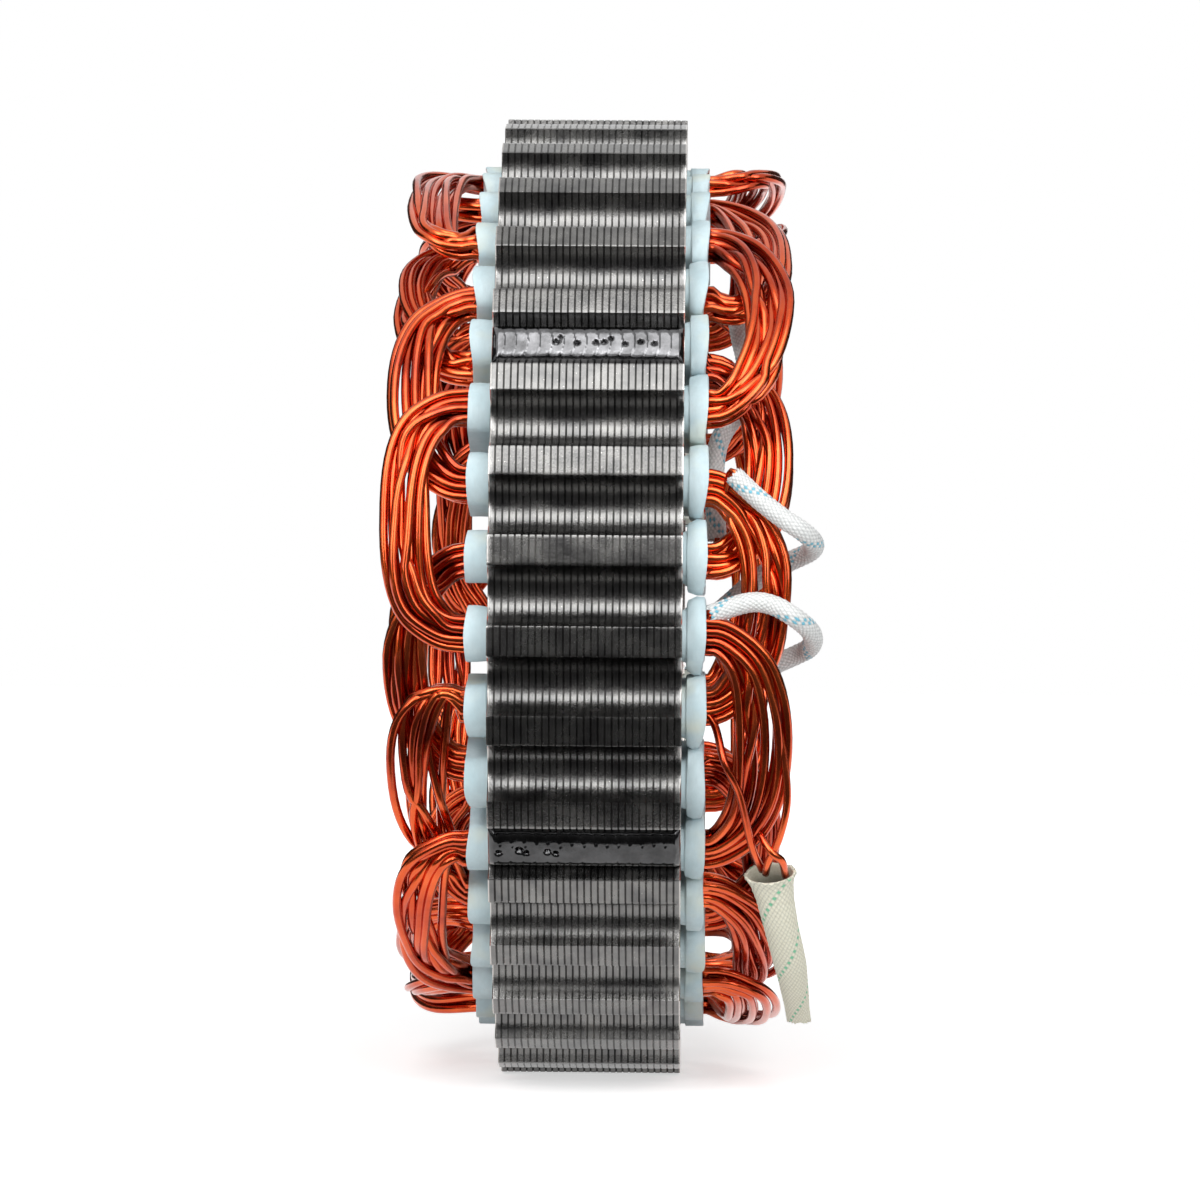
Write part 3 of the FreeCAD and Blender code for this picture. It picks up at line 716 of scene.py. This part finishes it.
def loop_wires(layer, middle, side, form, seed):
    """The paths of all the wires of one end loop, from the middle of one slot to the middle of the next."""
    twist, looseness, skew, sweep, squareness = form
    source = np.random.default_rng(seed)
    half_span = PHASES * PITCH / 2
    exit_radius = EXIT_RADII[layer]
    exit_half = math.degrees(EXIT_WIDTHS[layer] / 2 / exit_radius)
    top = TURN_HEIGHT - source.uniform(0.05, 0.45)
    window = WINDOW_HEIGHT + source.uniform(-0.9, 0.5) - 0.35 * abs(sweep)

    stations = []
    for height in LEG_STATIONS:
        stations.append((half_span - exit_half, half_span + exit_half, height, height))
    turns = np.linspace(0, np.pi, CROWN_STATIONS)
    for turn in turns:
        # The legs lean towards each other on the way up to a rounded crown, which may lean to one side.
        reach = math.copysign(abs(math.cos(turn)) ** (1 - squareness), math.cos(turn))
        reach *= 1 - 0.05 * math.exp(-((math.sin(turn) - 0.5) / 0.34) ** 2)
        risen = math.sin(turn) ** (1 - squareness)
        stations.append((
            (half_span - exit_half) * reach - sweep * risen, (half_span + exit_half) * reach - skew * risen,
            LEG_HEIGHT + (window - LEG_HEIGHT) * risen, LEG_HEIGHT + (top - LEG_HEIGHT) * risen))
    legs = len(LEG_STATIONS)
    first = [(-inner, -outer, low, high) for inner, outer, low, high in stations]
    edges = np.array(first + stations[legs - 1::-1])
    count = len(edges)
    crown_share = np.clip(np.sin(turns) * 1.6, 0, 1)
    spread = np.concatenate([np.zeros(legs), crown_share, np.zeros(legs)])

    arc = np.radians(edges[:, 1] - edges[:, 0]) * exit_radius
    across = np.hypot(arc, edges[:, 3] - edges[:, 2])
    thickness = EXIT_THICKNESS + (TURN_THICKNESS - EXIT_THICKNESS) * spread
    room = np.stack([across / 2, thickness / 2], axis=1) - WIRE_RADIUS

    # In loop coordinates the outer edge is positive: that is the side away from the other slot.
    start_places = SLOT_PLACES[layer] * np.array((-1.0, 1.0))
    end_places = SLOT_PLACES[layer]
    share = np.clip(np.linspace(-0.12, 1.12, count), 0, 1)
    turned = math.pi * twist * eased(share)
    unit = start_places / room[0]
    ranks = np.argsort(np.argsort(unit[:, 0] + 0.25 * unit[:, 1]))
    fanned = np.stack([np.linspace(-1, 1, WIRES)[ranks] + source.normal(0, 0.07, WIRES),
                       0.35 * unit[:, 1] + source.normal(0, 0.15, WIRES)], axis=1)
    flow = []
    for turn, fan in zip(turned, spread):
        spot = unit + (fanned - unit) * fan
        flow.append(np.stack([spot[:, 0] * math.cos(turn) - spot[:, 1] * math.sin(turn),
                              spot[:, 0] * math.sin(turn) + spot[:, 1] * math.cos(turn)], axis=1))
    flow = np.array(flow)
    goal = (end_places / room[-1])[nearest_order(flow[-1], end_places / room[-1])]
    flow = flow + (goal - flow[-1])[None] * eased(share)[:, None, None]
    steps = np.linspace(0, 1, count)
    for wire in range(WIRES):
        for axis, size in ((0, 0.30), (1, 0.42)):
            wander = sum(source.normal(0, 1)
                         * np.sin(steps * np.pi * wave + source.uniform(0, 2 * np.pi)) / wave
                         for wave in range(1, 5))
            flow[:, wire, axis] += size * looseness * wander * spread
    places = flow * room[:, None]
    places = settle(places, room, 70, (0, 1, count - 2, count - 1))

    fraction = 0.5 + places[..., 0] / across[:, None]
    angle = edges[:, :1] + (edges[:, 1:2] - edges[:, :1]) * fraction
    height = edges[:, 2:3] + (edges[:, 3:4] - edges[:, 2:3]) * fraction
    into_loop = np.minimum(steps, 1 - steps)[:, None] * count - 3.0
    risen = eased(np.clip(into_loop / (0.27 * CROWN_STATIONS), 0, 1))
    radius = exit_radius + (LAYER_RADII[layer] - exit_radius) * risen + places[..., 1]
    turn = np.radians(middle + angle)
    paths = np.stack([side * (HALF_STACK + height), radius * np.cos(turn), radius * np.sin(turn)], axis=2)
    return paths.transpose(1, 0, 2)


def slot_wires(layer, slot):
    """The paths of the wires that fill the rest of a slot and join its leg outside both core faces."""
    source = np.random.default_rng(7000 + slot)
    radial, tangent = slot_axes(FIRST_SLOT_ANGLE + PITCH * slot)
    x = np.concatenate([-HALF_STACK - JOIN_HEIGHTS, HALF_STACK + JOIN_HEIGHTS[::-1]])
    inside = eased(np.clip((HALF_STACK + JOIN_HEIGHTS[0] - np.abs(x)) / LINER_OVERHANG, 0, 1))
    wall = LINER_FIT + LINER_THICKNESS + WIRE_RADIUS
    paths = []
    for row in range(ROWS):
        up = ROW_START + ROW_STRIDE * row
        if abs(up - EXIT_RADII[layer]) < EXIT_THICKNESS / 2 + 0.3:
            continue
        room = slot_half_width(up) - wall
        if up > BOW_START:
            room = math.sqrt((BOW_RADIUS - wall) ** 2 - (up - SLOT_BOTTOM + BOW_RADIUS) ** 2)
        for share in ROW_SHARES:
            across = share * room + source.normal(0, 0.06)
            joined = share * (EXIT_WIDTHS[layer] / 2 - WIRE_RADIUS) * 0.8
            joined_up = EXIT_RADII[layer] + source.uniform(-0.8, 0.8)
            along = joined + (across - joined) * inside
            out = joined_up + (up + source.normal(0, 0.06) - joined_up) * inside
            paths.append(x[:, None] * AXIS + out[:, None] * radial + along[:, None] * tangent)
    return paths


def make_phase(name, node, layer, first_slot, forms):
    """All wires of one phase. A loop that has no form of its own gets one by chance."""
    paths = []
    for bar in range(SLOTS // PHASES):
        slot = first_slot + PHASES * bar
        side = -1 if bar % 2 == 0 else 1
        number = (slot + SLOTS // 2) % SLOTS - SLOTS // 2
        lean = rng.uniform(-2, 2)
        form = forms.get((side, number), (rng.choice((0.0, 0.5, -0.5, 0.9)), 1.4, lean, 2 * lean, 0.1))
        middle = FIRST_SLOT_ANGLE + PITCH * slot + PHASES * PITCH / 2
        paths += [*loop_wires(layer, middle, side, form, 1000 * layer + slot), *slot_wires(layer, slot)]
    points, faces = tubes(paths, WIRE_RADIUS, WIRE_SIDES, capped=False)
    piece(name, points, faces, phase_wire, [node])


# Leads

LAYER_HALF = TURN_THICKNESS / 2
LEAD_FIT = 0.3
SLEEVE_RADIUS = 1.5
STAR_WIRE_RADIUS = 0.575
STRAND_RADIUS = 0.42
LEAD_WIRE_SIDES = 12
LEAD_WIRE_STEP = 0.6
OVER_OUTER = LAYER_RADII[0] + LAYER_HALF + LEAD_FIT + STAR_WIRE_RADIUS
OVER_MIDDLE = LAYER_RADII[1] + LAYER_HALF + LEAD_FIT + SLEEVE_RADIUS
IN_BORE = LAYER_RADII[2] - LAYER_HALF - LEAD_FIT - SLEEVE_RADIUS
MIDDLE = LAYER_RADII[1]
INNER = LAYER_RADII[2]


def stop(height, angle, radius, lift=0.0):
    """A stop on a lead's route: its height is in crown heights, its lift in sleeve radii."""
    return on_cylinder(height * TURN_HEIGHT, angle, radius + lift * SLEEVE_RADIUS)


def past_crown(beyond, angle, radius, lift=0.0):
    """A stop outside the loops' crowns, beyond them by so many sleeve radii."""
    return on_cylinder(TURN_HEIGHT + LEAD_FIT + (1 + beyond) * SLEEVE_RADIUS, angle,
                       radius + lift * SLEEVE_RADIUS)


ROUTES = {
    "lead_sleeve_a": [stop(0.25, -2.2, OVER_MIDDLE), stop(0.57, -0.7, OVER_MIDDLE),
                      stop(0.78, -0.9, OVER_MIDDLE, 0.2), stop(0.98, -2.4, OVER_MIDDLE, 0.5),
                      past_crown(0.3, -4.6, MIDDLE, 0.3), past_crown(0.4, -7.0, INNER),
                      stop(1.01, -9.0, IN_BORE), stop(0.61, -12.1, IN_BORE)],
    "lead_sleeve_b": [stop(0.45, 15.7, OVER_MIDDLE), stop(0.65, 12.8, OVER_MIDDLE, 0.2),
                      stop(0.87, 10.2, OVER_MIDDLE, 0.3), stop(1.05, 8.6, OVER_MIDDLE, -0.2),
                      past_crown(0.5, 7.6, MIDDLE, -0.3), past_crown(0.3, 6.9, INNER, -0.5),
                      stop(0.95, 5.6, IN_BORE), stop(0.7, 3.3, IN_BORE), stop(0.37, -1.6, IN_BORE)],
    "lead_sleeve_c": [stop(0.3, 9.0, IN_BORE), stop(0.28, 15.0, IN_BORE), stop(0.28, 21.5, IN_BORE),
                      stop(0.34, 26.2, IN_BORE), stop(0.52, 32.0, IN_BORE), stop(0.56, 39.0, IN_BORE),
                      stop(0.51, 45.5, IN_BORE), stop(0.48, 50.1, IN_BORE)],
    "star_sleeve": [stop(0.8, -37.2, OVER_OUTER, -0.8), stop(0.9, -45.0, OVER_OUTER, -0.2),
                    stop(1.01, -53.7, OVER_OUTER, 0.4), stop(1.10, -64.9, OVER_OUTER, 1.7)],
    "lead_wires_a": [stop(0.24, -3.6, OVER_MIDDLE, -1.4)],
    "lead_wires_b": [stop(0.37, 14.4, OVER_MIDDLE, -1.8)],
    "lead_wires_c": [stop(0.3, 6.0, IN_BORE, 0.8)],
    "star_wire_1": [stop(0.1, -15.2, EXIT_RADII[1]), stop(0.28, -16.8, MIDDLE, 1),
                    stop(0.38, -20.5, OVER_OUTER), stop(0.52, -25, OVER_OUTER),
                    stop(0.63, -32, OVER_OUTER), stop(0.73, -36.8, OVER_OUTER, -0.9)],
    "star_wire_2": [stop(0.84, -14.0, LAYER_RADII[0], -0.6), stop(0.90, -19.5, LAYER_RADII[0], 0.4),
                    stop(0.94, -25.5, OVER_OUTER, -0.1), stop(0.88, -30.5, OVER_OUTER, 0.2),
                    stop(0.78, -34.5, OVER_OUTER, 0.1), stop(0.76, -36.9, OVER_OUTER, -0.5)],
    "star_wire_3": [stop(0.66, -31.0, LAYER_RADII[0], -0.4), stop(0.80, -32.6, OVER_OUTER, 0.4),
                    stop(0.90, -33.9, OVER_OUTER, 0.5), stop(0.94, -37.2, OVER_OUTER, -0.4)],
}

BLUE = (0.20, 0.62, 0.80)
GREEN = (0.22, 0.72, 0.52)
BRAID_STEP = 0.11
BRAID_RELIEF = 0.15
FRAY_LENGTH = 0.28
MOUTH_ROWS = 30
SLEEVE_WALL = 0.42
LEAST_BORE = 0.55


def braided_sleeve(name, node, material, braid, radius_at, flat_at=lambda share: 1.0):
    """A braided tube along its node's route, with frayed mouths, yarns raised where they cross, and tracer
    yarns. A braid is its count of yarns one way round, the facets of each, its stride, its tracers' colour
    and their places."""
    yarns, facets, stride, tracer, traced = braid
    path = smooth_path(ROUTES[node], BRAID_STEP)
    rows, sides = len(path), facets * yarns
    length = np.concatenate([[0], np.cumsum(np.linalg.norm(np.diff(path, axis=0), axis=1))])
    shares = length / length[-1]
    turn = 2 * np.pi * np.arange(sides) / sides
    first = yarns * turn[None, :] / (2 * np.pi) + length[:, None] / stride
    second = yarns * turn[None, :] / (2 * np.pi) - length[:, None] / stride
    raised = np.sqrt(np.abs(np.sin(first * np.pi) * np.sin(second * np.pi)))
    over = (np.floor(first) + np.floor(second)) % 2
    radius = np.array([radius_at(share) for share in shares])[:, None]
    wall = radius + BRAID_RELIEF * (raised - 0.7) + 0.02 * (over - 0.5)

    # Yarns darken towards the hollows between them, tracer yarns too: painted shade in the braid's hollows.
    shade = 0.52 + 0.48 * raised ** 0.7
    colour = np.ones((rows, sides, 4))
    colour[..., :3] *= shade[..., None]
    dashed = np.isin(np.floor(first) % yarns, traced) & (over == 0) & (raised > 0.4)
    colour[dashed, :3] = np.array(tracer) * shade[dashed][:, None]

    across, up = ring_frames(path)
    squeeze = np.array([flat_at(share) for share in shares])[:, None, None]
    rings = (across[:, None] * np.cos(turn)[None, :, None] / squeeze ** 0.6
             + up[:, None] * np.sin(turn)[None, :, None] * squeeze)
    frays = FRAY_LENGTH * (ripple(turn, 0.16, sides + len(name)) + ripple(turn, 0.07, len(name)))
    at_mouth = np.exp(-length / 0.5) - np.exp((length - length[-1]) / 0.5)
    ahead = np.gradient(path, axis=0) / np.gradient(length)[:, None]
    outer = (path[:, None] + rings * wall[..., None]
             + ahead[:, None] * frays[None, :, None] * at_mouth[:, None, None])
    inner = path[:, None] + rings * np.maximum(radius - SLEEVE_WALL, radius * LEAST_BORE)[..., None]
    # The inside of each mouth darkens inwards: painted shade in the sleeve's bore.
    dark = np.ones((MOUTH_ROWS, sides, 4))
    dark[..., :3] *= np.linspace(0.85, 0.25, MOUTH_ROWS)[:, None, None]
    points = np.concatenate([inner[:MOUTH_ROWS][::-1], outer, inner[-MOUTH_ROWS:][::-1]])
    tint = np.concatenate([dark[::-1], colour, dark])
    faces = grid_faces(len(points), sides, closed_columns=True)
    piece(name, points.reshape(-1, 3), faces, material, [node], tint=tint.reshape(-1, 4))


def wire_piece(name, node, routes, radius):
    """Lead wires with closed ends, one along each route."""
    paths = [smooth_path(route, LEAD_WIRE_STEP) for route in routes]
    points, faces = tubes(paths, radius, LEAD_WIRE_SIDES, capped=True)
    piece(name, points, faces, lead_wire, [node])


def star_radius(share):
    """The star sleeve's radius along it, from its flared mouth to its tail."""
    return float(np.interp(share, (0, 0.05, 0.14, 0.3, 0.55, 0.72, 0.88, 1.0),
                           (3.3, 2.75, 2.4, 2.25, 2.15, 1.85, 1.4, 1.2)))


def star_flatness(share):
    """How flat the star sleeve is pressed along it, where 1 is round."""
    return float(np.interp(share, (0, 0.3, 0.7, 1.0), (0.75, 0.8, 0.8, 0.5)))


def make_leads():
    """The sleeves of the three leads and of the star point, each with the wires that go into it."""
    for key, traced in (("a", (0, 1)), ("b", (3, 4)), ("c", (6, 7))):
        node = f"lead_sleeve_{key}"
        braided_sleeve(f"braided_sleeve_{key}", node, white_braid,
                       (14, 6, 0.92, BLUE, traced), lambda share: SLEEVE_RADIUS - 0.06)
        mouth, inside = ROUTES[node][:2]
        along = (inside - mouth) / np.linalg.norm(inside - mouth)
        start = ROUTES[f"lead_wires_{key}"][0]
        routes = []
        for shift in range(3):
            turn = 2 * np.pi * shift / 3
            aside = np.array((0.0, math.cos(turn), math.sin(turn))) * 0.5
            routes.append([start + aside, mouth - along * 0.6 + aside * 0.9,
                           mouth + along * 2.5 + aside * 0.8])
        wire_piece(f"lead_strands_{key}", f"lead_wires_{key}", routes, STRAND_RADIUS)
    braided_sleeve("braided_star_sleeve", "star_sleeve", cream_braid,
                   (24, 4, -1.1, GREEN, (2, 14)), star_radius, star_flatness)
    for number in (1, 2, 3):
        node = f"star_wire_{number}"
        wire_piece(f"star_strand_{number}", node, [ROUTES[node]], STAR_WIRE_RADIUS)


# Camera

CAMERA_ROLL = 0.45
camera_data = bpy.data.cameras.new("camera")
camera_data.sensor_width = 36.0
camera_data.lens = 144.06
camera_data.shift_x = 0.00375
camera_data.shift_y = -0.00317
camera_data.clip_start = 0.01
camera_data.clip_end = 50.0
camera = bpy.data.objects.new("camera", camera_data)
camera.location = (0.0163, -0.7596, 0.0)
look = (-camera.location).to_track_quat("-Z", "Y").to_matrix()
camera.rotation_euler = (look @ Matrix.Rotation(math.radians(CAMERA_ROLL), 3, "Z")).to_euler()
bpy.context.scene.collection.objects.link(camera)
bpy.context.scene.camera = camera


# Object

make_core()
for number in range(1, WELDS + 1):
    spread = [(rng.uniform(-11, 11), rng.uniform(-0.8, 0.8), rng.uniform(0.28, 0.45)) for _ in range(6)]
    make_weld_bead(number, 90 + 360 / WELDS * (number - 1), PORES.get(number, spread))
for number in range(1, SLOTS + 1):
    make_liner(number)
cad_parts["slot_wedges"].material_slots[0].material = wedge_paper
make_phase("wires_phase_a", "winding_phase_a", 0, 0, FORMS_A)
make_phase("wires_phase_b", "winding_phase_b", 1, 4, FORMS_B)
make_phase("wires_phase_c", "winding_phase_c", 2, 2, FORMS_C)
make_leads()


# Floor, light

FLOOR_REACH = 3.0
FLAG_DISTANCE = 0.9
FLAG_STEPS = 12
CARD_LIFT = 0.001
FILL_LIGHT = 0.32
LAMP_DISTANCE = 1.1


def stage_piece(name, points, faces, material):
    """A thing of the studio, which is no part of the stator."""
    mesh = bpy.data.meshes.new(name)
    mesh.from_pydata(points, [], faces)
    mesh.materials.append(material)
    made = bpy.data.objects.new(name, mesh)
    bpy.context.scene.collection.objects.link(made)
    return made


def seen_rays(nodes, links):
    """1 for what the camera sees, directly, in gloss or through glass."""
    path = nodes.new("ShaderNodeLightPath")
    total = path.outputs["Is Camera Ray"]
    for output in ("Is Glossy Ray", "Is Transmission Ray"):
        add = nodes.new("ShaderNodeMath")
        add.operation = "MAXIMUM"
        links.new(total, add.inputs[0])
        links.new(path.outputs[output], add.inputs[1])
        total = add.outputs[0]
    return total


def floor_material():
    """Pale matte paper with a white of its own where it is seen."""
    material = bpy.data.materials.new("floor_paper")
    material.use_nodes = True
    nodes, links = material.node_tree.nodes, material.node_tree.links
    nodes.clear()
    out = nodes.new("ShaderNodeOutputMaterial")
    paper = nodes.new("ShaderNodeBsdfDiffuse")
    put(paper, {"Color": (0.82, 0.82, 0.82, 1)})
    glow = nodes.new("ShaderNodeEmission")
    put(glow, {"Color": (1, 1, 1, 1)})
    both = nodes.new("ShaderNodeAddShader")
    links.new(paper.outputs[0], both.inputs[0])
    links.new(glow.outputs[0], both.inputs[1])
    # The paper's own white fades in away from the stator, so the shadow under it stays.
    place = nodes.new("ShaderNodeTexCoord")
    away = nodes.new("ShaderNodeVectorMath")
    away.operation = "LENGTH"
    links.new(place.outputs["Object"], away.inputs[0])
    strength = nodes.new("ShaderNodeMath")
    strength.operation = "MULTIPLY"
    links.new(span(nodes, links, away.outputs["Value"], 0.55, 0.95, 0.12, 0.7), strength.inputs[1])
    links.new(seen_rays(nodes, links), strength.inputs[0])
    links.new(strength.outputs[0], glow.inputs["Strength"])
    links.new(both.outputs[0], out.inputs["Surface"])
    return material


def background(nodes, strength):
    """Plain white light of one strength."""
    node = nodes.new("ShaderNodeBackground")
    put(node, {"Color": (1, 1, 1, 1), "Strength": strength})
    return node


def make_world():
    """White where it is seen, and a dim fill where it only lights."""
    world = bpy.data.worlds.new("studio")
    bpy.context.scene.world = world
    world.use_nodes = True
    nodes, links = world.node_tree.nodes, world.node_tree.links
    nodes.clear()
    world_out = nodes.new("ShaderNodeOutputWorld")
    choose = nodes.new("ShaderNodeMixShader")
    links.new(seen_rays(nodes, links), choose.inputs["Fac"])
    links.new(background(nodes, FILL_LIGHT).outputs[0], choose.inputs[1])
    links.new(background(nodes, 1.0).outputs[0], choose.inputs[2])
    links.new(choose.outputs[0], world_out.inputs["Surface"])


def face_stator(item, azimuth, elevation, distance):
    """Stands a lamp round the stator. Azimuth 0 is the camera's side, 90 the lead side."""
    turn, rise = math.radians(azimuth), math.radians(elevation)
    item.location = (distance * math.cos(rise) * math.sin(turn), -distance * math.cos(rise) * math.cos(turn),
                     distance * math.sin(rise))
    item.rotation_euler = (-item.location).to_track_quat("-Z", "Y").to_euler()


def softbox(name, azimuth, elevation, width, height, power):
    """An area lamp that faces the stator."""
    data = bpy.data.lights.new(name, "AREA")
    data.shape = "RECTANGLE"
    data.size = width
    data.size_y = height
    data.energy = power
    lamp = bpy.data.objects.new(name, data)
    face_stator(lamp, azimuth, elevation, LAMP_DISTANCE)
    bpy.context.scene.collection.objects.link(lamp)


flag_cloth, _, _, cloth = new_material("flag_cloth")
put(cloth, {"Base Color": (0.03, 0.03, 0.03, 1), "Roughness": 0.9})


def dark_card(name, points, faces):
    """A dark card seen only in gloss: it gives bright metal its dark flanks."""
    card = stage_piece(name, points, faces, flag_cloth)
    card.visible_camera = False
    card.visible_diffuse = False
    card.visible_shadow = False


def flag(name, start, end, low, high):
    """A card bent round the stator, from one azimuth to another and between two levels."""
    points = []
    for turn in np.radians(np.linspace(start, end, FLAG_STEPS + 1)):
        for level in (low, high):
            points.append((FLAG_DISTANCE * math.sin(turn), -FLAG_DISTANCE * math.cos(turn), level))
    dark_card(name, points, grid_faces(FLAG_STEPS + 1, 2))


make_world()
floor_level = cad_low.z - 0.00005
floor_corners = [(x * FLOOR_REACH, y * FLOOR_REACH, floor_level)
                 for x, y in ((-1, -1), (1, -1), (1, 1), (-1, 1))]
stage_piece("floor", floor_corners, [(0, 1, 2, 3)], floor_material())

card_level = floor_level + CARD_LIFT
flag("front_low_flag", -20, 20, -0.07, 0.20)
flag("left_low_flag", -68, -20, -0.07, 0.08)
flag("right_low_flag", 20, 68, -0.07, 0.08)
flag("left_flag", -165, -68, card_level, 0.7)
flag("right_flag", 68, 165, card_level, 0.7)
front_corners = [(x, y, card_level) for x in (-0.5, 0.5) for y in (-FLAG_DISTANCE, -0.09)]
dark_card("front_flag", front_corners, [(0, 2, 3, 1)])

softbox("key_softbox", 0, 49, 0.9, 0.85, 6.6)
softbox("left_softbox", -26, 24, 0.36, 0.8, 3.6)
softbox("right_softbox", 26, 24, 0.36, 0.8, 3.6)

bpy.context.scene.view_settings.view_transform = "Standard"
